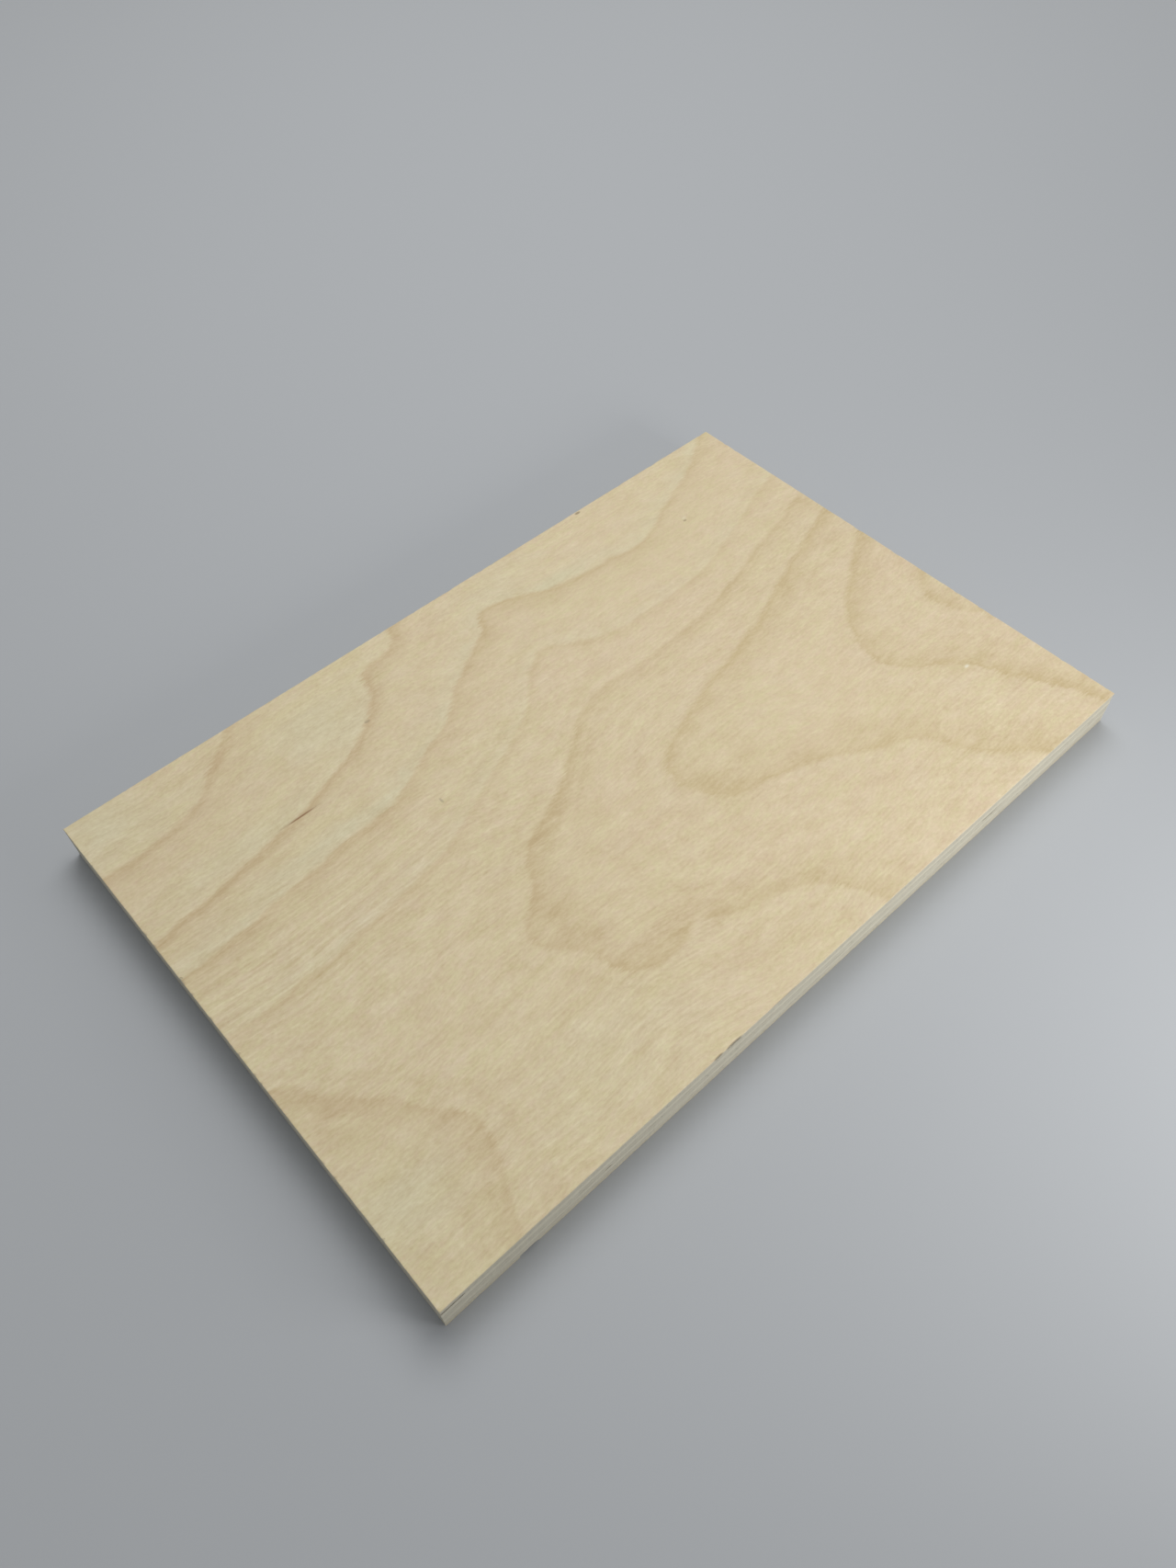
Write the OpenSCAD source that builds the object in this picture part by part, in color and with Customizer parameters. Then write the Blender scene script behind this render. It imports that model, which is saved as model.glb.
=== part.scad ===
// Small cut panel of seven-ply plywood, lying flat with its better face up.
// Thin face and back veneers are glued to a core of five thicker plies, and the
// grain turns a quarter turn from each ply to the next. Glued faces touch.
// Millimetres, +Z up: X runs along the face grain, Y across it, and Z = 0 is the
// back, midway along and across the panel. The front edge is the one at -Y.

/* [Panel] */
// Length of the panel, along the face grain
panel_l = 300; // [120:5:1200]
// Width of the panel, across the face grain
panel_w = 200; // [60:5:1200]
// Thickness of the whole panel, over all seven plies
panel_t = 15; // [12:0.5:30]

/* [Veneers] */
// Thickness of the face veneer, after sanding
face_t = 0.8; // [0.4:0.1:1.2]
// Thickness of the back veneer, after sanding
back_t = 0.8; // [0.4:0.1:1.2]

/* [Gap at the front left corner] */
// Length of the gap along the front edge, from the corner
corner_gap_l = 8; // [4:0.5:30]
// Depth of the gap, square to the front edge
corner_gap_d = 6; // [2:0.5:20]
// Height of the gap, up from the glue line below it
corner_gap_h = 1.2; // [0.3:0.1:1.8]

/* [Gaps under the face veneer] */
// Distance of the longer gap's middle from the left edge
long_gap_x = 129; // [40:1:160]
// Length of the longer gap along the front edge
long_gap_l = 13; // [4:0.5:30]
// Height of the longer gap
long_gap_h = 0.4; // [0.2:0.1:1.6]
// Distance of the shorter gap's middle from the left edge
short_gap_x = 105; // [40:1:200]
// Length of the shorter gap along the front edge
short_gap_l = 11; // [4:0.5:30]
// Height of the shorter gap
short_gap_h = 0.8; // [0.2:0.1:1.6]
// Depth of both gaps, square to the front edge
face_gap_d = 3; // [1:0.5:10]

/* [Hole in the middle ply] */
// Distance of the hole's middle from the right edge
hole_x = 70; // [20:1:100]
// Length of the hole along the front edge
hole_l = 5.5; // [2:0.5:12]
// Height of the hole, down from the glue line above it
hole_h = 0.8; // [0.2:0.1:1.6]
// Depth of the hole, square to the front edge
hole_d = 3; // [1:0.5:10]

/* [Chip in the back veneer] */
// Distance of the chip's middle from the left edge
chip_x = 29; // [20:1:100]
// Length of the chip along the front edge
chip_l = 6; // [2:0.5:20]
// Depth of the chip, square to the front edge
chip_d = 1.2; // [0.5:0.1:5]

/* [Hidden] */

// Colours of the sanded face, the plies cut along their grain and the end grain
face_colour = [0.83, 0.76, 0.62];
long_colour = [0.80, 0.74, 0.62];
cross_colour = [0.72, 0.66, 0.54];

core_plies = 5;
core_t = (panel_t - face_t - back_t) / core_plies;
left_edge = -panel_l / 2;
right_edge = panel_l / 2;
front_edge = -panel_w / 2;
// How far a cut runs past the surface that it opens
overcut = 1;

// Height of the underside of a core ply, counted up from the lowest at 0
function core_z(level) = back_t + level * core_t;

// Radius of the arc that has this chord and this depth
function arc_radius(chord, depth) = (pow(chord / 2, 2) + pow(depth, 2)) / (2 * depth);

// One whole ply, from height z up
module ply(z, thickness) {
    translate([left_edge, front_edge, z])
        cube([panel_l, panel_w, thickness]);
}

// Room left where a ply falls short of the front edge: a round-backed slot that is
// as long as the chord at the edge, and deepest at its middle
module edge_gap(x, z, length, depth, height) {
    radius = arc_radius(length, depth);
    translate([x, front_edge + depth - radius, z])
        cylinder(r = radius, h = height, $fn = 96);
}

module face_veneer() {
    color(face_colour)
        ply(core_z(core_plies), face_t);
}

module upper_cross_ply() {
    color(cross_colour)
        difference() {
            ply(core_z(4), core_t);
            edge_gap(left_edge + long_gap_x, core_z(5) - long_gap_h,
                long_gap_l, face_gap_d, long_gap_h + overcut);
            edge_gap(left_edge + short_gap_x, core_z(5) - short_gap_h,
                short_gap_l, face_gap_d, short_gap_h + overcut);
            edge_gap(left_edge, core_z(4) - overcut,
                2 * corner_gap_l, corner_gap_d, corner_gap_h + overcut);
        }
}

module upper_long_ply() {
    color(long_colour)
        ply(core_z(3), core_t);
}

module middle_cross_ply() {
    color(cross_colour)
        difference() {
            ply(core_z(2), core_t);
            edge_gap(right_edge - hole_x, core_z(3) - hole_h,
                hole_l, hole_d, hole_h + overcut);
        }
}

module lower_long_ply() {
    color(long_colour)
        ply(core_z(1), core_t);
}

module lower_cross_ply() {
    color(cross_colour)
        ply(core_z(0), core_t);
}

module back_veneer() {
    color(long_colour)
        difference() {
            ply(0, back_t);
            edge_gap(left_edge + chip_x, -overcut,
                chip_l, chip_d, back_t + 2 * overcut);
        }
}

face_veneer();
upper_cross_ply();
upper_long_ply();
middle_cross_ply();
lower_long_ply();
lower_cross_ply();
back_veneer();
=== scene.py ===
"""Looks of a small seven-ply plywood sheet: a figured face veneer, sawn edges that show
the crossed plies, and a plain back, lying on a pale studio floor."""

import bpy
import numpy as np
from mathutils import Matrix, Vector


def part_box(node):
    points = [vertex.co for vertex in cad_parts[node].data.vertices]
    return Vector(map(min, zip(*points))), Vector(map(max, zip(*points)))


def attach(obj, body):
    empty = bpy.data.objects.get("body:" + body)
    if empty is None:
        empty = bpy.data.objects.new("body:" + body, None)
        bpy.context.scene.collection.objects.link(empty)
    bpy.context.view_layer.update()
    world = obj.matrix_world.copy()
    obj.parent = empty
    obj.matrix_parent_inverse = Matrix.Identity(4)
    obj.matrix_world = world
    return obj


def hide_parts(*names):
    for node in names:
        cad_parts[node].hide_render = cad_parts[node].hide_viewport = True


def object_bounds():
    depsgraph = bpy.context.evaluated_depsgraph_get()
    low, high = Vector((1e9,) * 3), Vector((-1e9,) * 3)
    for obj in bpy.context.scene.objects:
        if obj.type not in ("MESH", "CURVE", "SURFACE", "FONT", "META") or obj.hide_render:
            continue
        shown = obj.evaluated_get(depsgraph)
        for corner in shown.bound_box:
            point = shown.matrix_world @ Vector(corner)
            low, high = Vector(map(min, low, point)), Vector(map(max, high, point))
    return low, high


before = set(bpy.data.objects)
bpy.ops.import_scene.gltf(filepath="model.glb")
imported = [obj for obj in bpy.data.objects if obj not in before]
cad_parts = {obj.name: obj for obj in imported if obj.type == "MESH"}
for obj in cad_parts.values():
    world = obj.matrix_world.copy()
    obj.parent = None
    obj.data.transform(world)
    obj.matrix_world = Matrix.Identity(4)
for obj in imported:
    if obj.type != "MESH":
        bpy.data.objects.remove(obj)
cad_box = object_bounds()

bl_info = {
    "name": "Plywood sheet",
    "version": (1, 0, 0),
    "blender": (4, 5, 0),
    "location": "View3D > Sidebar > Plywood",
    "description": "Builds a small plywood sheet with a figured face and sawn edges",
    "category": "Add Mesh",
}

MM = 0.001
LOW, HIGH = (np.array(corner) / MM for corner in cad_box)
LENGTH, WIDTH, THICKNESS = HIGH - LOW
FRONT, RIGHT, BACK, LEFT = range(4)

# Core plies from the top: node, fibre axis, how dark the ply is against the others
CORE = (
    ("upper_cross_ply", "y", 0.55),
    ("upper_long_ply", "x", 0.15),
    ("middle_cross_ply", "y", 0.40),
    ("lower_long_ply", "x", 0.30),
    ("lower_cross_ply", "y", 0.10),
)

# Growth lines of the face, each with its number in the order of growth and the places it
# passes through, in millimetres from the left edge and from the back edge
FACE_LINES = (
    (1, ((-6, 27), (0, 26.5), (20, 25.5), (30, 24), (40, 20), (48, 12.5), (56, 6), (62, 0),
         (66, -5))),
    (2, ((-6, 59.5), (0, 59), (20, 56), (40, 52.5), (60, 48.5), (75, 43.5), (90, 38),
         (100, 31), (108, 22.5), (110.5, 15), (116, 10.5), (127, 8.5), (131, 3),
         (133, -4))),
    (3, ((-6, 75.5), (0, 75), (20, 73.5), (40, 71), (60, 68.5), (75, 67), (88, 65.5),
         (96, 61.5), (110, 55), (121, 50), (130, 42), (140, 35.5), (150, 29.5), (156, 26),
         (160, 19.5), (165, 17.5), (176, 20), (187, 25), (200, 28), (216, 29.5),
         (232, 31), (242, 28.5), (252, 23), (266, 17.5), (279, 11.5), (288, 6), (296, -1),
         (300, -5))),
    (4, ((-6, 101), (0, 100.5), (25, 99.5), (50, 98), (70, 95.5), (90, 91.5),
         (110, 82.5), (125, 75.5), (138, 69.5), (146, 64.5), (155, 54.5), (161, 49.5),
         (167, 47.5), (173, 50), (182, 55.5), (190, 58.5), (205, 60), (225, 60),
         (240, 58.5), (255, 54), (270, 49), (285, 43.5), (300, 38.5), (306, 36))),
    (5, ((306, 52), (300, 53.5), (285, 58.5), (270, 62), (255, 66), (240, 70.5),
         (220, 74.5), (200, 76), (186, 76.5), (175, 75), (165, 76.5), (155, 80),
         (146, 87), (138, 93), (127, 100), (115, 105.5), (106, 110), (101, 117),
         (94, 126), (88, 131), (86, 137), (91, 144), (97, 151), (98, 158),
         (101.5, 163.5), (109, 167.5), (120, 167), (129, 165), (135, 169), (147, 173),
         (160, 177.5), (168, 183), (173, 191), (177, 200), (179, 206))),
    (5, ((-6, 117), (0, 121), (6, 126), (10, 133), (18, 140), (25, 147), (31, 156),
         (37, 163), (39, 170), (37.5, 179), (33, 188), (29, 196), (28, 205))),
    (6, ((306, 65), (300, 66.5), (285, 72), (270, 77), (255, 83), (240, 89),
         (225, 93.5), (210, 97.5), (195, 101), (180, 106.5), (168, 111.5), (162, 117),
         (161, 123), (164, 131), (169, 139), (178, 142), (190, 145), (205, 150.5),
         (213, 155), (221, 160), (230, 162.5), (237, 169), (240, 177), (246, 185),
         (252, 191), (259, 196.5), (264, 203))),
    (7, ((306, 80), (300, 84), (289, 91), (277, 99), (266, 107), (257, 116), (253, 125),
         (251.5, 132), (255, 141), (264, 149), (274, 156.5), (278, 165), (284, 176),
         (290, 186), (294, 196), (297, 206))),
    (8, ((306, 110), (300, 114), (294, 119), (290.5, 125), (291.5, 133), (296, 141),
         (302, 147))),
)
# Places between the lines, with their height there in growth numbers
FACE_BETWEEN = (
    (0.45, (8, 5)), (0.3, (-6, -6)), (0.6, (30, 8)), (2.35, (200, 3)), (2.6, (180, 12)),
    (2.45, (240, 8)), (2.5, (150, 8)), (2.6, (270, -5)), (4.3, (45, 130)),
    (4.35, (60, 165)), (4.35, (70, 195)), (4.6, (90, 165)), (4.5, (110, 190)),
    (4.2, (20, 112)), (4.3, (70, 112)), (5.35, (5, 165)), (5.5, (-5, 205)),
    (5.3, (15, 195)), (4.7, (130, 190)), (6.35, (205, 125)), (6.5, (225, 115)),
    (5.35, (135, 140)), (5.2, (120, 130)), (5.5, (150, 160)), (5.5, (180, 170)),
    (5.6, (210, 185)), (8.2, (300, 130)), (6.85, (285, 190)), (6.6, (265, 180)),
    (7.6, (300, 175)), (5.5, (305, 60)),
)
# What each line of the face is like: its sharp part, its slow part, the pale rim before it
FACE_HABITS = {
    0: (0.0, 0.0, 0.0),
    1: (0.30, 0.80, 0.3),
    2: (1.00, 0.45, 0.5),
    3: (0.55, 0.50, 1.0),
    4: (0.50, 0.08, 0.6),
    5: (0.20, 0.75, 0.1),
    6: (0.30, 1.05, 0.2),
    7: (0.30, 1.00, 0.1),
    8: (0.20, 0.85, 0.1),
}
# The highest growth number that a table of habits can hold
HABIT_SPAN = 32
# Soft patches of the face, each with its middle, half length, half width and strength:
# darker wood, greenish pale wood, lines that are brown where others are yellow, growth
# lines that are bolder or fainter, wood with a coarser or a finer texture, and fibres
# that show as long streaks
FACE_PATCHES = {
    "stain": (
        ((53, 11), 8, 7, 0.5),
        ((104, 24), 6, 8, 0.4),
        ((98, 135), 8, 14, 0.5),
        ((112, 162), 18, 5, 0.5),
        ((110, 108), 12, 6, 0.5),
        ((172, 133), 12, 6, 0.7),
        ((12, 142), 12, 9, 0.6),
        ((32, 172), 8, 14, 0.4),
        ((125, 135), 45, 50, 0.22),
    ),
    "pale": (
        ((8, 8), 18, 14, 0.7),
        ((86, 22), 20, 14, 0.7),
        ((38, 46), 30, 5, 0.5),
        ((60, 63), 36, 3, 0.5),
        ((10, 172), 16, 10, 0.7),
        ((80, 180), 30, 20, 0.3),
        ((178, 8), 22, 7, 0.4),
        ((195, 23), 12, 3, 0.5),
    ),
    "brown": (
        ((20, 20), 90, 40, 1.0),
        ((110, 20), 40, 30, 0.9),
        ((50, 75), 100, 24, 0.5),
        ((10, 160), 40, 50, 1.0),
        ((95, 130), 30, 40, 0.5),
        ((250, 40), 80, 40, 0.2),
    ),
    "bold": (
        ((85, 40), 35, 20, 0.2),
        ((40, 72), 60, 8, 0.45),
        ((50, 98), 60, 9, 0.9),
        ((165, 22), 26, 12, 0.5),
        ((215, 28), 30, 8, 0.35),
        ((168, 50), 18, 9, 0.8),
        ((105, 130), 25, 40, 0.2),
        ((200, 75), 40, 12, -0.25),
        ((280, 170), 20, 40, 0.3),
        ((245, 88), 60, 22, 0.3),
    ),
    "coarse": (
        ((230, 35), 80, 36, -0.32),
        ((215, 130), 40, 30, -0.18),
        ((250, 185), 40, 20, 0.1),
        ((30, 150), 40, 60, 0.1),
    ),
    "streaky": (
        ((30, 90), 60, 26, 0.8),
        ((60, 190), 60, 14, 0.35),
        ((120, 170), 60, 30, 0.25),
    ),
}
BACK_PATCHES = {
    "stain": (((90, 60), 40, 20, 0.3), ((220, 150), 30, 16, 0.25)),
    "pale": (((60, 120), 50, 20, 0.5),),
    "brown": (((150, 60), 150, 60, 0.5),),
    "bold": (),
    "coarse": (),
    "streaky": (((180, 60), 90, 40, 0.6),),
}
# Places where a veneer is broken away at the front edge: middle, half length and depth
FACE_BITES = ((101.0, 1.5, 0.10), (107.4, 2.8, 0.14))
BACK_BITES = ((29.0, 3.0, 1.2),)


# ---------------------------------------------------------------- numbers and fields


def thin_plate(knots, heights, x, y):
    """Height and slopes, at x and y, of a thin plate bent through heights at its knots:
    a plane plus, for each knot, a weight times r squared times the log of r squared."""
    scale = 100.0
    knots = np.asarray(knots, float) / scale
    count = len(knots)
    square = ((knots[:, None] - knots[None]) ** 2).sum(-1)
    bend = square * np.log(np.maximum(square, 1e-20))
    system = np.zeros((count + 3, count + 3))
    system[:count, :count] = bend + np.eye(count) * 1e-5
    system[:count, count] = system[count, :count] = 1
    system[:count, count + 1:] = knots
    system[count + 1:, :count] = knots.T
    weights = np.linalg.solve(system, np.append(heights, (0, 0, 0)))
    u, v = x / scale, y / scale
    height = weights[count] + weights[count + 1] * u + weights[count + 2] * v
    slope_u = np.full_like(u, weights[count + 1])
    slope_v = np.full_like(u, weights[count + 2])
    for (knot_u, knot_v), weight in zip(knots, weights):
        du, dv = u - knot_u, v - knot_v
        square = du * du + dv * dv
        log = np.log(np.maximum(square, 1e-20))
        height += weight * square * log
        slope_u += 2 * weight * du * (log + 1)
        slope_v += 2 * weight * dv * (log + 1)
    return height, slope_u / scale, slope_v / scale


def smooth(t):
    """Smooth step of t from 0 to 1: 3 t squared minus 2 t cubed."""
    t = np.clip(t, 0, 1)
    return t * t * (3 - 2 * t)


def lattice_noise(u, v, seed):
    """Smooth random height from -1 to 1 at u and v: random values on a unit lattice that
    repeats, blended between the four nearest by the smooth step."""
    cells = 256
    table = np.random.default_rng(seed).uniform(-1, 1, (cells, cells))
    iu, iv = np.floor(u).astype(int), np.floor(v).astype(int)
    fu, fv = smooth(u - iu), smooth(v - iv)
    near, far = iu % cells, (iu + 1) % cells
    low, high = iv % cells, (iv + 1) % cells
    bottom = table[near, low] * (1 - fu) + table[far, low] * fu
    top = table[near, high] * (1 - fu) + table[far, high] * fu
    return bottom * (1 - fv) + top * fv


def blob(u, v, middle, half_u, half_v):
    """A soft round patch: e to the minus of the squared distance, in half sizes."""
    return np.exp(-(((u - middle[0]) / half_u) ** 2) - ((v - middle[1]) / half_v) ** 2)


# ---------------------------------------------------------------- mesh


def outline(cells_long, cells_wide):
    """Points round the rectangle from its front left corner: front, right, back and left
    side, each from its first corner up to just short of the next. For each point: place,
    inward direction, side and distance along that side. The inward direction turns to
    the diagonal as it nears a corner."""
    corner_reach = 12.0
    starts = ((LOW[0], LOW[1]), (HIGH[0], LOW[1]), (HIGH[0], HIGH[1]), (LOW[0], HIGH[1]))
    along = ((1, 0), (0, 1), (-1, 0), (0, -1))
    inward = ((0, 1), (-1, 0), (0, -1), (1, 0))
    places, insides, sides, walked = [], [], [], []
    for side in (FRONT, RIGHT, BACK, LEFT):
        cells, length = (cells_wide, WIDTH) if side % 2 else (cells_long, LENGTH)
        s = np.arange(cells) * (length / cells)
        lean = smooth(1 - s / corner_reach) - smooth(1 - (length - s) / corner_reach)
        places.append(np.array(starts[side]) + s[:, None] * np.array(along[side]))
        insides.append(np.array(inward[side]) + lean[:, None] * np.array(along[side]))
        sides.append(np.full(cells, side))
        walked.append(s)
    return [np.concatenate(part) for part in (places, insides, sides, walked)]


def apart(side, s):
    """The distance along a side, moved on for each side so that noise differs on all."""
    return s + 500.0 * side


def ring_faces(rows, count):
    """Quads between each ring of points and the one above it, closed round."""
    low = (np.arange(rows - 1) * count)[:, None]
    here = np.arange(count)[None]
    there = (here + 1) % count
    quads = np.stack([low + here, low + there, low + count + there, low + count + here], -1)
    return quads.reshape(-1, 4)


def grid_faces(cells_long, cells_wide, rim, first):
    """Quads of a level grid. Its outer points are the ring numbered from rim, which starts
    at the front left corner, and its inner ones are numbered from first, row by row from
    the front."""
    ring = rim + np.arange(2 * (cells_long + cells_wide))
    front_right = cells_long
    back_right = front_right + cells_wide
    back_left = back_right + cells_long
    index = np.zeros((cells_wide + 1, cells_long + 1), int)
    inner = index[1:-1, 1:-1]
    inner[:] = first + np.arange(inner.size).reshape(inner.shape)
    index[0, :-1] = ring[:front_right]
    index[:-1, -1] = ring[front_right:back_right]
    index[-1, :0:-1] = ring[back_right:back_left]
    index[:0:-1, 0] = ring[back_left:]
    quads = np.stack([index[:-1, :-1], index[:-1, 1:], index[1:, 1:], index[1:, :-1]], -1)
    return quads.reshape(-1, 4)


def new_piece(name, points, quads, caps, attributes, material):
    """A mesh object from points in millimetres, quads, outline caps and one array of
    values for each attribute."""
    mesh = bpy.data.meshes.new(name)
    faces = quads.tolist() + [cap.tolist() for cap in caps]
    mesh.from_pydata((points * MM).tolist(), [], faces)
    for label, values in attributes.items():
        kind = "FLOAT_VECTOR" if values.ndim == 2 else "FLOAT"
        layer = mesh.attributes.new(label, kind, "POINT")
        field = "vector" if values.ndim == 2 else "value"
        layer.data.foreach_set(field, values.astype(np.float32).ravel())
    mesh.shade_smooth()
    mesh.set_sharp_from_angle(angle=np.radians(40))
    mesh.materials.append(material)
    mesh.validate()
    piece = bpy.data.objects.new(name, mesh)
    bpy.context.scene.collection.objects.link(piece)
    return piece


def hand_over(piece, node):
    """The piece stands in for its CAD node, which it hides, and hangs under the root body."""
    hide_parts(node)
    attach(piece, "root")


def sawn_inset(side, s, z, fibre, settings, seed):
    """How far the sawn wall lies inside the sheet's box, in millimetres: a bare margin,
    plus torn fibres where the saw crossed the grain, or long streaks where it ran along
    it, plus the blade's own shallow wander."""
    end_grain = (side % 2 == 1) == (fibre == "x")
    walk = apart(side, s)
    torn = lattice_noise(walk / 0.9, z / 0.35, seed) + lattice_noise(walk / 2.7, z / 0.8, seed + 1)
    streak = lattice_noise(walk / 14, z / 0.3, seed + 2) + lattice_noise(walk / 5, z / 0.5, seed + 3)
    wander = lattice_noise(walk / 45, z / 30, 77)
    rough = np.where(end_grain, torn, 0.6 * streak) * settings.roughness_mm
    return settings.margin_mm + 2 * settings.roughness_mm + rough + 0.03 * (1 + wander)


# ---------------------------------------------------------------- shader language


class Value:
    """A number in a material: an expression on Values adds its Math nodes."""

    def __init__(self, tree, socket):
        self.tree = tree
        self.socket = socket

    def math(self, operation, *others, clamp=False):
        """One Math node on this value and the others."""
        settings = {"operation": operation, "use_clamp": clamp}
        sockets = dict(enumerate((self, *others)))
        return self.tree.add("ShaderNodeMath", settings, sockets)

    def math_after(self, operation, other):
        """One Math node on a plain number and then this value."""
        return self.tree.add("ShaderNodeMath", {"operation": operation}, {0: other, 1: self})

    def __add__(self, other):
        return self.math("ADD", other)

    def __sub__(self, other):
        return self.math("SUBTRACT", other)

    def __mul__(self, other):
        return self.math("MULTIPLY", other)

    def __truediv__(self, other):
        return self.math("DIVIDE", other)

    def __rsub__(self, other):
        return self.math_after("SUBTRACT", other)

    def __rtruediv__(self, other):
        return self.math_after("DIVIDE", other)

    __radd__ = __add__
    __rmul__ = __mul__

    def clip(self):
        """The value kept between 0 and 1."""
        return self.math("ADD", 0.0, clamp=True)

    def fade(self, reach):
        """e to the minus of this value over reach."""
        return (self * (-1.0 / reach)).math("EXPONENT")

    def step(self, low, high):
        """A smooth step from 0 at low to 1 at high."""
        settings = {"interpolation_type": "SMOOTHSTEP"}
        return self.tree.add("ShaderNodeMapRange", settings, {0: self, 1: low, 2: high})


class Finish:
    """One material and the nodes in it."""

    def __init__(self, name):
        self.material = bpy.data.materials.new(name)
        self.material.use_nodes = True
        self.nodes = self.material.node_tree.nodes
        self.links = self.material.node_tree.links
        self.nodes.clear()
        coordinates = self.nodes.new("ShaderNodeTexCoord")
        self.place = self.stretch(coordinates.outputs["Object"], (1 / MM,) * 3)

    def node(self, kind, settings=None, sockets=None):
        """A node of that kind, with its settings and then its sockets' values or links."""
        node = self.nodes.new(kind)
        for key, value in (settings or {}).items():
            setattr(node, key, value)
        for key, value in (sockets or {}).items():
            value = getattr(value, "socket", value)
            if isinstance(value, bpy.types.NodeSocket):
                self.links.new(value, node.inputs[key])
            else:
                node.inputs[key].default_value = value
        return node

    def add(self, kind, settings=None, sockets=None, output=0):
        """The value at one output of a new node."""
        return Value(self, self.node(kind, settings, sockets).outputs[output])

    def stretch(self, vector, scale, location=(0, 0, 0)):
        """The place times a scale, moved by a location."""
        sockets = {"Vector": vector, "Scale": scale, "Location": location}
        return self.add("ShaderNodeMapping", None, sockets)

    def noise(self, size, detail=2.0, rough=0.5, shift=0.0, place=None):
        """Smooth noise from 0 to 1, with features of that size in millimetres."""
        scale = tuple(1.0 / s for s in size)
        place = self.stretch(place or self.place, scale, (shift, shift, shift))
        sockets = {"Vector": place, "Scale": 1.0, "Detail": detail, "Roughness": rough}
        return self.add("ShaderNodeTexNoise", None, sockets)

    def attribute(self, name, output="Fac"):
        """The value that the mesh holds under this name."""
        return self.add("ShaderNodeAttribute", {"attribute_name": name}, None, output)

    def parts(self, vector):
        """The three numbers of a vector or a colour."""
        node = self.node("ShaderNodeSeparateXYZ", None, {0: vector})
        return [Value(self, socket) for socket in node.outputs]

    def mix(self, amount, first, second):
        """First colour turning into second as amount goes from 0 to 1. Sockets 6 and 7
        are the node's colour inputs, and 2 is its colour output."""
        settings = {"data_type": "RGBA"}
        if not isinstance(first, Value):
            first = (*first, 1.0)
        if not isinstance(second, Value):
            second = (*second, 1.0)
        return self.add("ShaderNodeMix", settings, {0: amount, 6: first, 7: second}, 2)

    def shade(self, colour, factor):
        """The colour times a number."""
        settings = {"operation": "SCALE"}
        return self.add("ShaderNodeVectorMath", settings, {0: colour, "Scale": factor})

    def warm(self, colour, grain):
        """The colour made paler by the grain where it is above 0. Where it is below, the
        colour grows darker, and warmer because it loses more blue than red."""
        change = self.shade((0.76, 1.0, 1.38), grain)
        change = self.add("ShaderNodeVectorMath", {"operation": "ADD"}, {0: change, 1: (1, 1, 1)})
        return self.add(
            "ShaderNodeVectorMath", {"operation": "MULTIPLY"}, {0: colour, 1: change})

    def habit(self, growth, habits):
        """The three numbers of the growth line at or below a growth number, which keep
        the same value up to the next line."""
        node = self.node("ShaderNodeValToRGB", None, {0: growth * (1.0 / HABIT_SPAN)})
        ramp = node.color_ramp
        ramp.interpolation = "CONSTANT"
        while len(ramp.elements) < len(habits):
            ramp.elements.new(1.0)
        for element, (number, values) in zip(ramp.elements, sorted(habits.items())):
            element.position = number / HABIT_SPAN
            element.color = (*values, 1.0)
        return Value(self, node.outputs["Color"])

    def speck(self, x, y, middle, half_long, half_wide):
        """1 inside a small oval on the face, fading to 0 at its rim."""
        u = (x - middle[0]) / half_long
        v = (y - middle[1]) / half_wide
        return 1 - (u * u + v * v).step(0.15, 1.3)

    def finish(self, colour, roughness, height, bump_mm, bump_strength, specular):
        """The finished material, whose surface rises and falls with the height."""
        bump = self.add(
            "ShaderNodeBump",
            None,
            {"Strength": bump_strength, "Distance": bump_mm * MM, "Height": height},
        )
        sockets = {
            "Base Color": colour,
            "Roughness": roughness,
            "Normal": bump,
            "Specular IOR Level": specular,
        }
        surface = self.add("ShaderNodeBsdfPrincipled", None, sockets)
        self.node("ShaderNodeOutputMaterial", None, {"Surface": surface})
        return self.material


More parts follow.
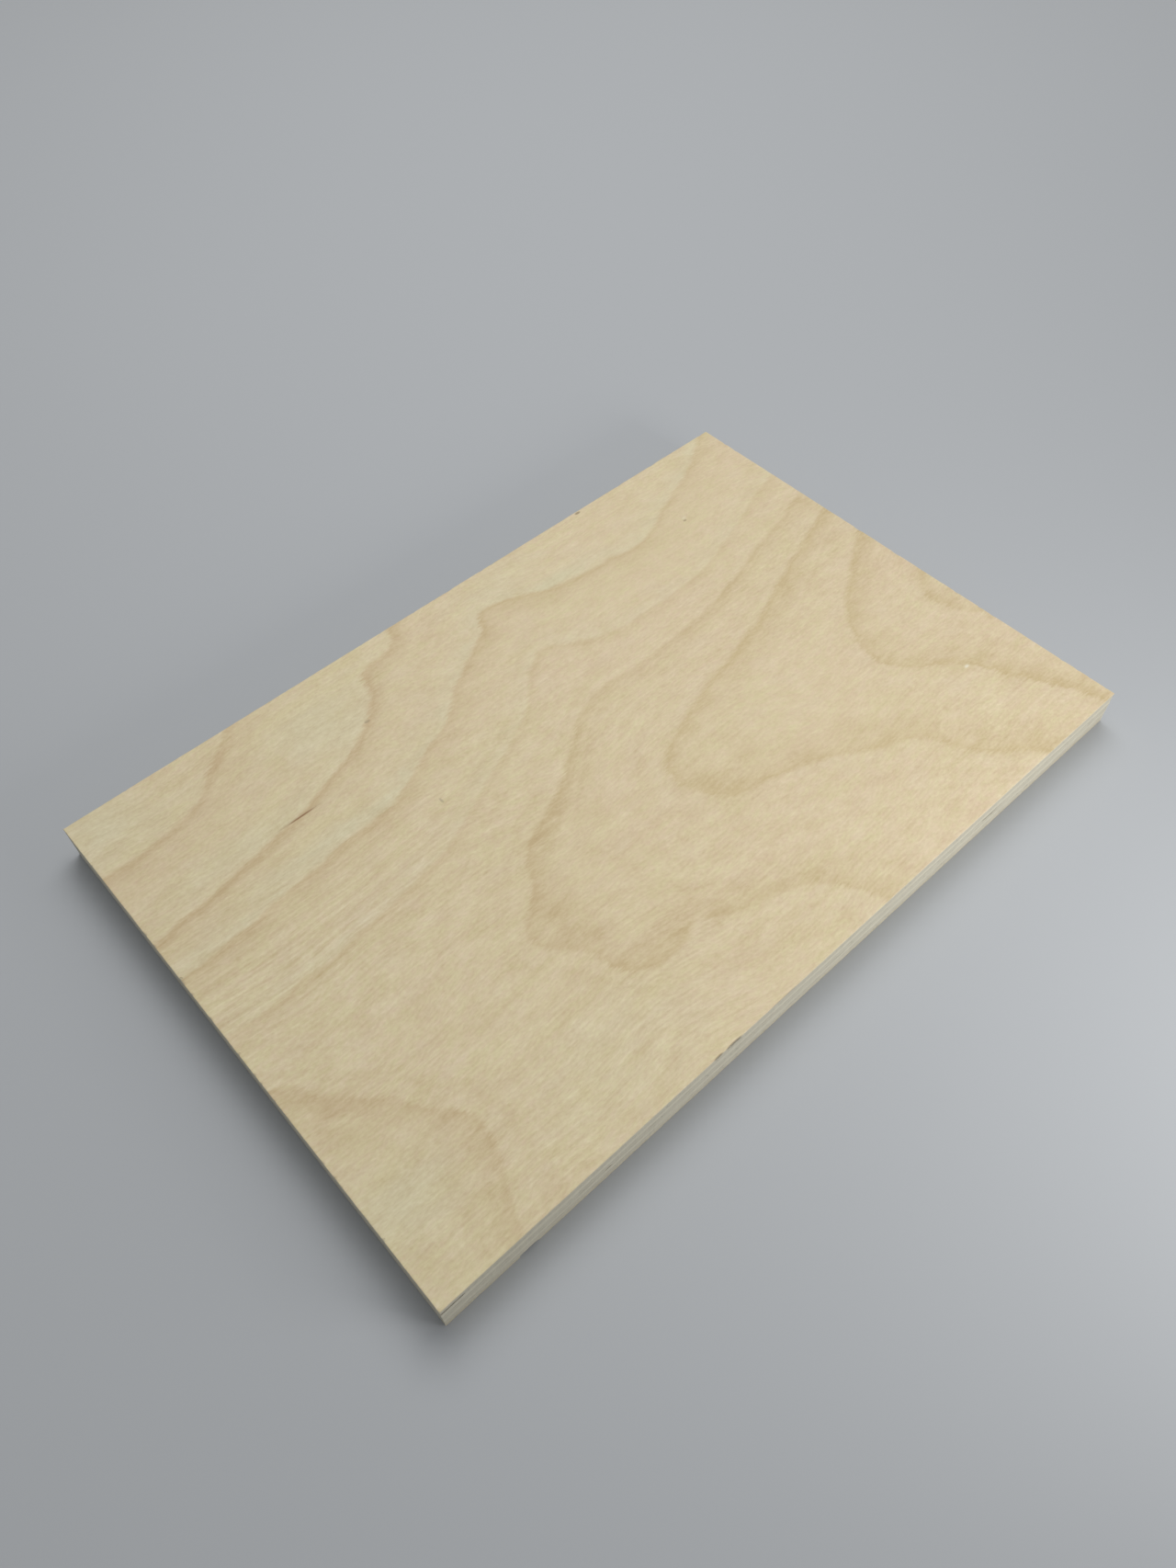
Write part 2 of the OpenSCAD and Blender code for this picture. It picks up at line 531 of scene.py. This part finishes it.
def veneer_finish(name, settings, shift, habits, specks_and_shade):
    """Sanded rotary-cut veneer. The ring attribute holds the growth number and its two
    slopes. Past each whole number the wood turns dark at once and pales again, fast and
    then slowly, and just before it the wood is at its palest. Torn along the fibre, so
    lines that cross the grain are woolly and lines that run with it are crisp. The tones
    and figure attributes hold the soft patches, and wall is 1 on the sawn wall."""
    wood = Finish(name)
    x, y, _ = wood.parts(wood.place)
    growth, slope_x, slope_y = wood.parts(wood.attribute("ring", "Vector"))
    stain, pale_patch, brown = wood.parts(wood.attribute("tones", "Vector"))
    bolder, streaky, coarse = wood.parts(wood.attribute("figure", "Vector"))

    # The fibres sway a little from side to side
    sway = (wood.noise((75, 60, 60), 1.0, 0.5, shift + 29) - 0.5) * settings.sway_mm
    swayed = wood.add("ShaderNodeCombineXYZ", None, {0: x, 1: y + sway, 2: 0.0})
    wool = wood.noise((6, 0.9, 5), 3.0, 0.62, shift, swayed) - 0.5
    wander = wood.noise((9, 6, 7), 3.0, 0.55, shift + 3) - 0.5
    steep = (slope_x * slope_x + slope_y * slope_y).math("SQRT").math("MAXIMUM", 0.012)
    growth = growth + slope_x * wool * settings.wool_mm + steep * wander * settings.wander_mm
    past = growth.math("FRACT")
    behind = past / steep
    ahead = (1 - past) / steep

    # What each line is like, from its number: sharp part, slow part, pale rim before it.
    # Each part fades out over its own reach, in millimetres
    sharp_reach, slow_reach, leak_reach, pale_reach, rim_reach = 1.7, 6.0, 0.6, 5.0, 1.2
    sharp, slow, _ = wood.parts(wood.habit(growth, habits))
    sharp_next, slow_next, pale_next = wood.parts(wood.habit(growth + 1, habits))
    uneven = wood.noise((32, 14, 30), 2.0, 0.5, shift + 7)
    blotch = wood.noise((8, 4, 8), 3.0, 0.6, shift + 9, swayed).step(0.28, 0.72)
    strength = (uneven * 0.9 + 0.55) * bolder
    rise = behind.step(-0.6, 0.8)
    slow_dark = slow * behind.fade(slow_reach) * (0.65 + blotch * 0.7)
    dark = (sharp * behind.fade(sharp_reach) + slow_dark) * rise
    leak = (sharp_next + slow_next) * ahead.fade(leak_reach) * 0.75
    rim = ahead.fade(pale_reach) * (1 - ahead.fade(rim_reach))
    pale = pale_next * rim * (0.6 + blotch * 0.8)
    tan = (dark + leak) * strength * settings.line_darkness

    # Fibres, from the longest streaks to the shortest dashes
    streaks = wood.noise((26, 1.3, 8), 3.0, 0.62, shift + 13, swayed) - 0.5
    fibres = wood.noise((5.0, 1.3, 3), 3.0, 0.66, shift + 17, swayed) - 0.5
    mottle = wood.noise((11, 6, 6), 3.0, 0.6, shift + 21, swayed) - 0.5
    flecks = wood.noise((1.7, 0.85, 2), 2.0, 0.6, shift + 19, swayed) - 0.5
    sockets = {"W": growth * 7.0, "Scale": 1.0, "Detail": 2.0, "Roughness": 0.6}
    faint = wood.add("ShaderNodeTexNoise", {"noise_dimensions": "1D"}, sockets) - 0.5

    rosy = wood.noise((60, 26, 40), 2.0, 0.55, shift + 11) - 0.5
    flush = wood.noise((13, 6.5, 8), 3.0, 0.6, shift + 31, swayed) - 0.5
    blush = wood.noise((3.0, 1.5, 3), 2.0, 0.5, shift + 37, swayed) - 0.5
    # The sheet is a little rosier to the right
    rosier = x * (0.4 / LENGTH)
    tint = (rosy + flush * 1.8 + blush * 1.7 + 0.5 + rosier).clip()
    colour = wood.mix(tint, settings.wood, settings.wood_rosy)
    green = (pale_patch + pale * 0.9 + flush * 1.2).clip()
    colour = wood.mix(green, colour, settings.wood_pale)
    shade = (tan + stain * (0.2 + blotch * 0.6)).clip()
    band = wood.mix(brown.clip(), settings.wood_tan, settings.wood_brown)
    colour = wood.mix(shade, colour, band)
    grain = settings.fibre_contrast * coarse * (
        streaks * (0.06 + streaky * 0.26)
        + fibres * 0.14
        + mottle * 0.19
        + flecks * 0.20
        + faint * 0.07
    )
    colour = wood.warm(colour, grain)
    colour = wood.mix(wood.attribute("wall") * 0.8, colour, settings.sawn)
    # Specks on the face, and painted shade at the chips of the front arris
    for middle, half_long, half_wide, paint, amount in specks_and_shade:
        mask = wood.speck(x, y, middle, half_long, half_wide) * amount
        colour = wood.mix(mask, colour, paint)

    height = fibres * 0.6 + flecks * 0.5 + mottle * 0.2
    roughness = 0.62 + flecks * 0.2 - shade * 0.05
    return wood.finish(colour, roughness, height, 0.06, 0.35, 0.3)


def sawn_finish(name, settings, fibre):
    """Sawn ply edge. Across the fibre it shows fine end grain with slanting checks from the lathe;
    along the fibre, long streaks. The end attribute says which, seam marks the glue line at the
    ply's rims, tone its darkness, and gap how deep a point lies in an open gap, where dark glue and
    painted shade deepen inward."""
    wood = Finish(name)
    long_way = 18.0
    fine = 0.30
    if fibre == "x":
        streak_size, pore_size = (long_way, fine, fine), (2.0, 0.16, 0.16)
    else:
        streak_size, pore_size = (fine, long_way, fine), (0.16, 2.0, 0.16)
    end = wood.attribute("end")
    seam = wood.attribute("seam")
    tone = wood.attribute("tone")
    gap = wood.attribute("gap")

    streaks = wood.noise(streak_size, 3.0, 0.6) - 0.5
    pores = wood.noise(pore_size, 2.0, 0.6, 5) - 0.5
    patches = wood.noise((16, 16, 1.6), 3.0, 0.6, 9) - 0.5
    saw = wood.noise((0.9, 0.9, 22), 3.0, 0.6, 13) - 0.5
    x, y, z = wood.parts(wood.place)
    slant = wood.add("ShaderNodeCombineXYZ", None, {0: x + z * 0.55, 1: y + z * 0.55, 2: z * 0.25})
    sockets = {"Vector": wood.stretch(slant, (0.8, 0.8, 0.8)), "Scale": 1.0, "Detail": 3.0}
    checks = wood.add("ShaderNodeTexNoise", None, sockets).step(0.60, 0.70) * end

    colour = wood.mix(end, settings.long_grain, settings.end_grain)
    dark = 1 - tone * 0.10 + patches * 0.22 + streaks * 0.24 + pores * 0.30 + saw * 0.16
    colour = wood.shade(colour, dark - checks * 0.12)
    colour = wood.mix((seam * settings.glue_darkness).clip(), colour, settings.glue)
    # Painted shade over dark glue, growing darker deeper into each open gap
    colour = wood.mix((gap * 0.8).clip(), colour, settings.gap_glue_and_shade)
    height = streaks * 0.6 + pores * 0.8 + saw * 0.8 - checks * 0.5
    roughness = 0.78 + pores * 0.15
    return wood.finish(colour, roughness, height, 0.12, 0.6, 0.2)


# ---------------------------------------------------------------- settings


class PlywoodFaceSettings(bpy.types.PropertyGroup):
    """Figure and colours of the two outer veneers"""

    cell_mm: bpy.props.FloatProperty(
        name="Cell", description="Spacing of the face's mesh, in mm", default=0.85, min=0.6)
    arris_mm: bpy.props.FloatProperty(
        name="Arris", description="Radius worn on the veneer's edge, in mm", default=0.22)
    line_darkness: bpy.props.FloatProperty(
        name="Line darkness", description="Strength of the growth lines", default=0.75)
    fibre_contrast: bpy.props.FloatProperty(
        name="Fibre contrast", description="Strength of the fibre texture", default=1.62)
    sway_mm: bpy.props.FloatProperty(
        name="Sway", description="How far the fibres sway sideways, in mm", default=14.0)
    wool_mm: bpy.props.FloatProperty(
        name="Wool", description="Reach of torn fibres over a growth line, in mm",
        default=8.0)
    wander_mm: bpy.props.FloatProperty(
        name="Wander", description="Wander of the growth lines, in mm", default=3.0)
    wood: bpy.props.FloatVectorProperty(
        name="Wood", description="Colour of the veneer", subtype="COLOR",
        default=(0.706, 0.615, 0.378))
    wood_rosy: bpy.props.FloatVectorProperty(
        name="Rosy wood", description="Colour of its warmer clouds", subtype="COLOR",
        default=(0.724, 0.583, 0.402))
    wood_pale: bpy.props.FloatVectorProperty(
        name="Pale wood", description="Colour just before a growth line", subtype="COLOR",
        default=(0.700, 0.631, 0.422))
    wood_tan: bpy.props.FloatVectorProperty(
        name="Tan wood", description="Colour past a yellow growth line", subtype="COLOR",
        default=(0.602, 0.480, 0.272))
    wood_brown: bpy.props.FloatVectorProperty(
        name="Brown wood", description="Colour past a brown growth line", subtype="COLOR",
        default=(0.610, 0.472, 0.284))
    sawn: bpy.props.FloatVectorProperty(
        name="Sawn wall", description="Colour of the veneer's sawn wall", subtype="COLOR",
        default=(0.675, 0.632, 0.508))


class PlywoodEdgeSettings(bpy.types.PropertyGroup):
    """Sawn edges of the plies"""

    cell_mm: bpy.props.FloatProperty(
        name="Cell", description="Spacing of the mesh along the edge, in mm", default=0.5)
    rows: bpy.props.IntProperty(
        name="Rows", description="Rows of faces over a core ply's thickness", default=16)
    margin_mm: bpy.props.FloatProperty(
        name="Margin", description="Least distance inside the sheet's box, in mm",
        default=0.02)
    roughness_mm: bpy.props.FloatProperty(
        name="Roughness", description="Height of the torn fibres, in mm", default=0.035)
    seam_mm: bpy.props.FloatProperty(
        name="Seam", description="Depth of the groove at a glue line, in mm", default=0.05)
    glue_darkness: bpy.props.FloatProperty(
        name="Glue darkness", description="Strength of the glue lines", default=0.28)
    end_grain: bpy.props.FloatVectorProperty(
        name="End grain", description="Colour across the fibre", subtype="COLOR",
        default=(0.614, 0.579, 0.470))
    long_grain: bpy.props.FloatVectorProperty(
        name="Long grain", description="Colour along the fibre", subtype="COLOR",
        default=(0.659, 0.624, 0.508))
    glue: bpy.props.FloatVectorProperty(
        name="Glue line", description="Colour of the glue lines", subtype="COLOR",
        default=(0.230, 0.160, 0.095))
    # Painted shade and dark glue inside an open gap, mixed in more the deeper a point lies
    gap_glue_and_shade: bpy.props.FloatVectorProperty(
        name="Gap", description="Colour inside an open gap", subtype="COLOR",
        default=(0.120, 0.075, 0.040))


class PlywoodStageSettings(bpy.types.PropertyGroup):
    """Floor, light and camera"""

    floor: bpy.props.FloatVectorProperty(
        name="Floor", description="Colour of the floor", subtype="COLOR",
        default=(0.470, 0.490, 0.512))
    key_power: bpy.props.FloatProperty(
        name="Key", description="Power of the large soft light, in watts", default=7.75)
    fill_power: bpy.props.FloatProperty(
        name="Fill", description="Power of the side light, in watts", default=0.32)
    sky: bpy.props.FloatProperty(
        name="Sky", description="Strength of the even light from all round", default=0.28)
    lens: bpy.props.FloatProperty(
        name="Lens", description="Focal length on a 36 mm frame", default=27.0)


# ---------------------------------------------------------------- pieces


def face_field(x, y):
    """Growth number and slopes of the face veneer at x and y, in the sheet's frame."""
    knots = [place for _, line in FACE_LINES for place in line]
    heights = [number for number, line in FACE_LINES for _ in line]
    knots += [place for _, place in FACE_BETWEEN]
    heights += [number for number, _ in FACE_BETWEEN]
    growth, slope_x, slope_y = thin_plate(knots, heights, x - LOW[0], HIGH[1] - y)
    return np.stack([growth, slope_x, -slope_y], -1)


def back_field(x, y):
    """Growth number and slopes of the back veneer: a slow slant and two long knolls, each
    a bell curve along and across the sheet."""
    scale = 100.0
    start, climb_u, climb_v = 20, 0.35, 3.1
    u, v = x / scale, y / scale
    growth = start + climb_v * v + climb_u * u
    slope_x = np.full_like(u, climb_u)
    slope_y = np.full_like(u, climb_v)
    for middle_u, middle_v, half_u, half_v, rise in ((-0.5, 0.35, 1.3, 0.42, 3.4),
                                                     (0.9, -0.55, 0.9, 0.35, -2.6)):
        du, dv = (u - middle_u) / half_u, (v - middle_v) / half_v
        bell = rise * np.exp(-du * du - dv * dv)
        growth += bell
        slope_x -= 2 * du / half_u * bell
        slope_y -= 2 * dv / half_v * bell
    return np.stack([growth, slope_x / scale, slope_y / scale], -1)


def patches(x, y, spots):
    """The sum of soft patches, each with its middle, half length, half width, amount."""
    total = np.zeros_like(x)
    for middle, half_long, half_wide, amount in spots:
        total += amount * blob(x - LOW[0], HIGH[1] - y, middle, half_long, half_wide)
    return total


def bites(u, places):
    """How far a veneer is broken away at its front edge, at u from the left edge: each
    bite is a parabola along the edge with a ragged floor."""
    depth = np.zeros_like(u)
    for middle, half_long, deep in places:
        arch = 1 - ((u - middle) / half_long) ** 2 + 0.3 * lattice_noise(u / 0.9, u * 0, 61)
        depth = np.maximum(depth, deep * smooth(arch * 1.4))
    return depth


def veneer(name, node, material, settings, field, spots, broken, up):
    """An outer veneer: a fine, all but level grid on its show face, a worn arris round it
    that is chipped here and there, and a sawn wall down to the glue line. Where it is
    broken away at the front edge the grid draws back with the rim. The show face looks up
    where up is 1 and down where it is -1."""
    low, high = (corner[2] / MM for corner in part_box(node))
    thick = high - low
    cells_long = int(round(LENGTH / settings.cell_mm))
    cells_wide = int(round(WIDTH / settings.cell_mm))
    place, inside, side, s = outline(cells_long, cells_wide)
    walk = apart(side, s)
    count = len(place)
    chips = smooth(lattice_noise(walk / 1.7, walk * 0, 31) * 3.2 - 1.9)
    chips *= 0.35 + 0.35 * (side % 2)
    radius = settings.arris_mm * (1 + 0.35 * lattice_noise(walk / 3.1, walk * 0, 5)) + chips
    rough = 0.03 * (1 + lattice_noise(walk / 1.3, walk * 0, 8))
    rough += bites(s, broken) * (side == FRONT)

    # Rows from the glue line up, each with its inset, its height and how sawn it looks:
    # the wall by shares of the thickness, then the quarter round
    rows = []
    for share in (0.0, 0.12, 0.4):
        rows.append((rough + 0.05 * (1 - share), np.full(count, share * thick), 1.0))
    for turn, sawn in zip(np.radians((0, 30, 60, 90)), (0.9, 0.4, 0.1, 0.0)):
        inset = rough + 0.03 + radius * (1 - np.cos(turn))
        drop = np.minimum(radius, 0.55 * thick) * (1 - np.sin(turn))
        rows.append((inset, thick - 0.01 - drop, sawn))
    rings = [
        np.column_stack([place + inside * inset[:, None], height])
        for inset, height, _ in rows
    ]
    rim = (len(rings) - 1) * count

    # The grid's rim is the last ring, and its inner points are evenly spaced
    grid_u = np.linspace(LOW[0], HIGH[0], cells_long + 1)[1:-1]
    grid_v = np.linspace(LOW[1], HIGH[1], cells_wide + 1)[1:-1]
    inner_x, inner_y = np.meshgrid(grid_u, grid_v)
    swell = 0.006 * lattice_noise(inner_x / 3.3, inner_y / 0.9, 41)
    swell += 0.010 * lattice_noise(inner_x / 30, inner_y / 9, 42)
    inner_y += bites(inner_x - LOW[0], broken) * np.clip(1 - (inner_y - LOW[1]) / 10, 0, 1)
    inner = np.stack([inner_x, inner_y, thick - 0.026 + swell], -1).reshape(-1, 3)

    points = np.concatenate(rings + [inner])
    grid = grid_faces(cells_long, cells_wide, rim, rim + count)
    quads = np.concatenate([ring_faces(len(rings), count), grid])
    cap = np.arange(count)[::-1]
    if up > 0:
        points[:, 2] += low
    else:
        points[:, 2] = high - points[:, 2]
        quads, cap = quads[:, ::-1], cap[::-1]
    x, y = points[:, 0], points[:, 1]
    soft = {label: patches(x, y, places) for label, places in spots.items()}
    wall = np.repeat([sawn for _, _, sawn in rows], count)
    attributes = {
        "ring": field(x, y),
        "wall": np.concatenate([wall, np.zeros(len(inner))]),
        "tones": np.stack([soft["stain"], soft["pale"], soft["brown"]], -1),
        "figure": np.stack([1 + soft["bold"], 0.2 + soft["streaky"], 1 + soft["coarse"]], -1),
    }
    return new_piece(name, points, quads, [cap], attributes, material)


def edge_gaps(node, side, s, z, low, high):
    """Depth of the open gaps in a core ply's sawn edge, in millimetres: each is a lens
    along the edge with an uneven rim. One of them runs round the front left corner."""
    ragged = 0.25 * lattice_noise(s / 1.1, z / 0.3, 51) + 0.15 * lattice_noise(s / 3.7, z / 1.1, 52)
    depth = np.zeros_like(s)
    corner_height = low + 0.62
    # Node, edge, middle along the edge, half length, middle's height, half height, depth
    gaps = (
        ("upper_cross_ply", FRONT, 0.0, 8.0, corner_height, 0.70, 5.0),
        ("upper_cross_ply", LEFT, WIDTH, 6.0, corner_height, 0.70, 5.0),
        ("upper_cross_ply", FRONT, 101.0, 1.9, high - 0.10, 0.40, 2.0),
        ("upper_cross_ply", FRONT, 107.4, 3.2, high - 0.15, 0.48, 2.6),
        ("upper_cross_ply", FRONT, 129.0, 6.4, high - 0.05, 0.20, 1.4),
        ("middle_cross_ply", FRONT, LENGTH - 70.0, 3.2, high - 0.40, 0.55, 2.6),
        ("middle_cross_ply", FRONT, 58.0, 1.3, low + 0.25, 0.42, 1.6),
    )
    for owner, edge, middle, half_long, height, half_high, deep in gaps:
        if owner == node:
            lens = 1 - ((s - middle) / half_long) ** 2 - ((z - height) / half_high) ** 2
            depth = np.maximum(depth, deep * smooth((lens + ragged) * 1.6) * (side == edge))
    return depth


def core_ply(node, fibre, tone, material, settings, seed):
    """A core ply: rings of points round its sawn edge, pushed in by the torn fibres, by
    the groove at each glue line and by the open gaps, and closed by two flat caps."""
    # Reach of the groove from the glue line, and the depth at which the painted shade in a gap is at
    # its darkest
    groove, full_shade_depth = 0.22, 1.5
    low, high = (corner[2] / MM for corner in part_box(node))
    place, inside, side, s = outline(
        int(LENGTH / settings.cell_mm), int(WIDTH / settings.cell_mm))
    count = len(place)
    # Part evenly spaced and part by a cosine, so that rows are closer at the glue lines
    crowding = 0.35
    even = np.linspace(0, 1, settings.rows + 1)
    share = crowding * (1 - np.cos(np.pi * even)) / 2 + (1 - crowding) * even
    heights = low + (high - low) * share
    z = np.repeat(heights, count)
    side_all, s_all = np.tile(side, len(heights)), np.tile(s, len(heights))
    rim = np.minimum(z - low, high - z)
    seam = 1 - smooth(rim / groove)
    gap = edge_gaps(node, side_all, s_all, z, low, high)
    inset = sawn_inset(side_all, s_all, z, fibre, settings, seed)
    inset += seam * settings.seam_mm + gap
    base = np.tile(place, (len(heights), 1)) + np.tile(inside, (len(heights), 1)) * inset[:, None]
    points = np.column_stack([base, z])
    end = ((side_all % 2 == 1) == (fibre == "x")).astype(float)
    attributes = {
        "end": end,
        "seam": seam,
        "tone": np.full(len(points), tone),
        # How deep each point lies in an open gap, which sets its painted shade
        "gap": np.clip(gap / full_shade_depth, 0, 1),
    }
    caps = [np.arange(count)[::-1], np.arange(count) + (len(heights) - 1) * count]
    quads = ring_faces(len(heights), count)
    return new_piece(node + "_wood", points, quads, caps, attributes, material)


class PLYWOOD_OT_face_veneer(bpy.types.Operator):
    """Make the figured face veneer"""

    bl_idname = "plywood.face_veneer"
    bl_label = "Face veneer"

    def execute(self, context):
        settings = context.scene.plywood_face
        # Brown colours the real specks and also the painted shade at the chips of the front arris
        brown, grey, white = (0.110, 0.050, 0.022), (0.330, 0.290, 0.200), (0.900, 0.880, 0.760)
        red_brown = (0.230, 0.095, 0.036)
        # Middle, half length, half width, colour and strength. The last three are painted shade:
        # dark ovals on the front arris over its chips and over the gap below the veneer
        specks_and_shade = (
            ((LOW[0] + 60.5, HIGH[1] - 49.1), 5.6, 0.34, red_brown, 0.70),
            ((LOW[0] + 60.0, HIGH[1] - 49.0), 10.0, 0.55, red_brown, 0.22),
            ((LOW[0] + 100.0, HIGH[1] - 31.2), 1.3, 0.7, brown, 0.35),
            ((LOW[0] + 253.8, HIGH[1] - 33.6), 0.9, 0.55, brown, 0.40),
            ((LOW[0] + 254.6, HIGH[1] - 32.2), 1.3, 0.7, white, 0.20),
            ((LOW[0] + 98.2, HIGH[1] - 75.5), 0.5, 1.3, grey, 0.45),
            ((LOW[0] + 272.6, HIGH[1] - 157.0), 1.2, 0.65, white, 0.55),
            ((LOW[0] + 225.5, HIGH[1] - 1.1), 1.5, 0.7, brown, 0.55),
            # Painted shade in the chips of the front arris and over the gap beneath them
            ((LOW[0] + 101.0, LOW[1] + 0.12), 1.9, 0.34, brown, 0.50),
            ((LOW[0] + 107.4, LOW[1] + 0.12), 3.4, 0.36, brown, 0.50),
            ((LOW[0] + 129.0, LOW[1] + 0.05), 7.0, 0.22, brown, 0.22),
        )
        material = veneer_finish("face_wood", settings, 0.0, FACE_HABITS, specks_and_shade)
        piece = veneer("face_veneer_wood", "face_veneer", material, settings, face_field,
                       FACE_PATCHES, FACE_BITES, 1)
        hand_over(piece, "face_veneer")
        return {"FINISHED"}


class PLYWOOD_OT_core_plies(bpy.types.Operator):
    """Make the five core plies"""

    bl_idname = "plywood.core_plies"
    bl_label = "Core plies"

    def execute(self, context):
        settings = context.scene.plywood_edge
        finishes = {
            "x": sawn_finish("long_ply_wood", settings, "x"),
            "y": sawn_finish("cross_ply_wood", settings, "y"),
        }
        for number, (node, fibre, tone) in enumerate(CORE):
            piece = core_ply(node, fibre, tone, finishes[fibre], settings, 100 + 10 * number)
            hand_over(piece, node)
        return {"FINISHED"}


class PLYWOOD_OT_back_veneer(bpy.types.Operator):
    """Make the plainer back veneer"""

    bl_idname = "plywood.back_veneer"
    bl_label = "Back veneer"

    def execute(self, context):
        settings = context.scene.plywood_face
        # Its growth lines are all alike
        habits = {0: (0.3, 0.6, 0.3)}
        material = veneer_finish("back_wood", settings, 40.0, habits, ())
        piece = veneer("back_veneer_wood", "back_veneer", material, settings, back_field,
                       BACK_PATCHES, BACK_BITES, -1)
        hand_over(piece, "back_veneer")
        return {"FINISHED"}


class PLYWOOD_OT_stage(bpy.types.Operator):
    """Make the floor, the lights and the camera"""

    bl_idname = "plywood.stage"
    bl_label = "Stage"

    def execute(self, context):
        settings = context.scene.plywood_stage
        make_floor(settings)
        make_lights(settings)
        make_camera(settings)
        context.scene.view_settings.view_transform = "Standard"
        return {"FINISHED"}


def make_floor(settings):
    """A wide round floor, level all over. Far out it turns paler, up to the tone of the
    sky, so that no horizon shows."""
    rings, turns = 40, 96
    innermost, outermost = 50, 12000
    pale_from, pale_to = 450, 2600
    radius = np.geomspace(innermost, outermost, rings)
    around = np.linspace(0, 2 * np.pi, turns, endpoint=False)
    x = np.outer(radius, np.cos(around))
    y = np.outer(radius, np.sin(around))
    points = np.stack([x, y, np.full_like(x, -0.05)], -1).reshape(-1, 3)
    finish = Finish("floor")
    cloud = finish.noise((900, 900, 900), 2.0, 0.5)
    x, y, _ = finish.parts(finish.place)
    far = (x * x + y * y).math("SQRT").step(pale_from, pale_to)
    colour = finish.mix(far, settings.floor, (0.98, 0.99, 1.0))
    colour = finish.shade(colour, 0.97 + cloud * 0.06)
    material = finish.finish(colour, 0.85, cloud, 0.01, 0.0, 0.1)
    quads = ring_faces(rings, turns)[:, ::-1]
    floor = new_piece("floor", points, quads, [np.arange(turns)], {}, material)


def add_light(name, place, target, size, power, colour):
    """A soft rectangular light at a place, aimed at a target, all in metres."""
    data = bpy.data.lights.new(name, "AREA")
    data.shape = "RECTANGLE"
    data.size, data.size_y = size
    data.energy = power
    data.color = colour
    light = bpy.data.objects.new(name, data)
    light.location = place
    direction = Vector(target) - Vector(place)
    light.rotation_euler = direction.to_track_quat("-Z", "Y").to_euler()
    light.visible_camera = False
    bpy.context.scene.collection.objects.link(light)
    return data


def make_lights(settings):
    """Even light from all round, a large soft light high at the back right, and a small
    low one at the front that brings out the sawn edge."""
    world = bpy.data.worlds.new("studio")
    world.use_nodes = True
    sky = world.node_tree.nodes["Background"]
    sky.inputs["Color"].default_value = (0.97, 0.985, 1.0, 1.0)
    sky.inputs["Strength"].default_value = settings.sky
    bpy.context.scene.world = world
    white = (1.0, 0.99, 0.975)
    add_light("key", (0.36, 0.34, 1.0), (0, 0, 0), (0.9, 0.9), settings.key_power, white)
    side = add_light(
        "side", (0.12, -0.38, 0.14), (0.08, -0.1, 0.09), (0.20, 0.12), settings.fill_power, white)
    side.spread = np.radians(115)


def make_camera(settings):
    """A camera above the front left corner that looks down across the sheet."""
    data = bpy.data.cameras.new("camera")
    data.lens = settings.lens
    data.sensor_width = 36.0
    data.clip_start = 0.01
    camera = bpy.data.objects.new("camera", data)
    heading, tilt, roll = np.radians((-41.07, 36.12, -1.46))
    turn = Matrix.Rotation(heading, 4, "Z") @ Matrix.Rotation(tilt, 4, "X")
    turn = turn @ Matrix.Rotation(roll, 4, "Z")
    camera.matrix_world = Matrix.Translation((-0.1636, -0.1777, 0.3317)) @ turn
    bpy.context.scene.collection.objects.link(camera)
    bpy.context.scene.camera = camera


# ---------------------------------------------------------------- add-on


class PLYWOOD_PT_panel(bpy.types.Panel):
    """Sidebar panel with the sheet's pieces and settings"""

    bl_idname = "PLYWOOD_PT_panel"
    bl_label = "Plywood sheet"
    bl_space_type = "VIEW_3D"
    bl_region_type = "UI"
    bl_category = "Plywood"

    def draw(self, context):
        for operator in PIECES:
            self.layout.operator(operator.bl_idname)
        for group in SETTINGS:
            box = self.layout.box()
            settings = getattr(context.scene, group)
            for key in settings.bl_rna.properties.keys():
                if key not in {"rna_type", "name"}:
                    box.prop(settings, key)


PIECES = (
    PLYWOOD_OT_face_veneer,
    PLYWOOD_OT_core_plies,
    PLYWOOD_OT_back_veneer,
    PLYWOOD_OT_stage,
)
SETTINGS = {
    "plywood_face": PlywoodFaceSettings,
    "plywood_edge": PlywoodEdgeSettings,
    "plywood_stage": PlywoodStageSettings,
}


def register():
    for group in (*SETTINGS.values(), *PIECES, PLYWOOD_PT_panel):
        bpy.utils.register_class(group)
    for name, group in SETTINGS.items():
        setattr(bpy.types.Scene, name, bpy.props.PointerProperty(type=group))


def unregister():
    for name in SETTINGS:
        delattr(bpy.types.Scene, name)
    for group in (PLYWOOD_PT_panel, *reversed(PIECES), *SETTINGS.values()):
        bpy.utils.unregister_class(group)


def main():
    """Registers the add-on and builds every piece and the stage."""
    register()
    for piece in PIECES:
        category, name = piece.bl_idname.split(".")
        getattr(getattr(bpy.ops, category), name)()


if __name__ == "__main__":
    main()
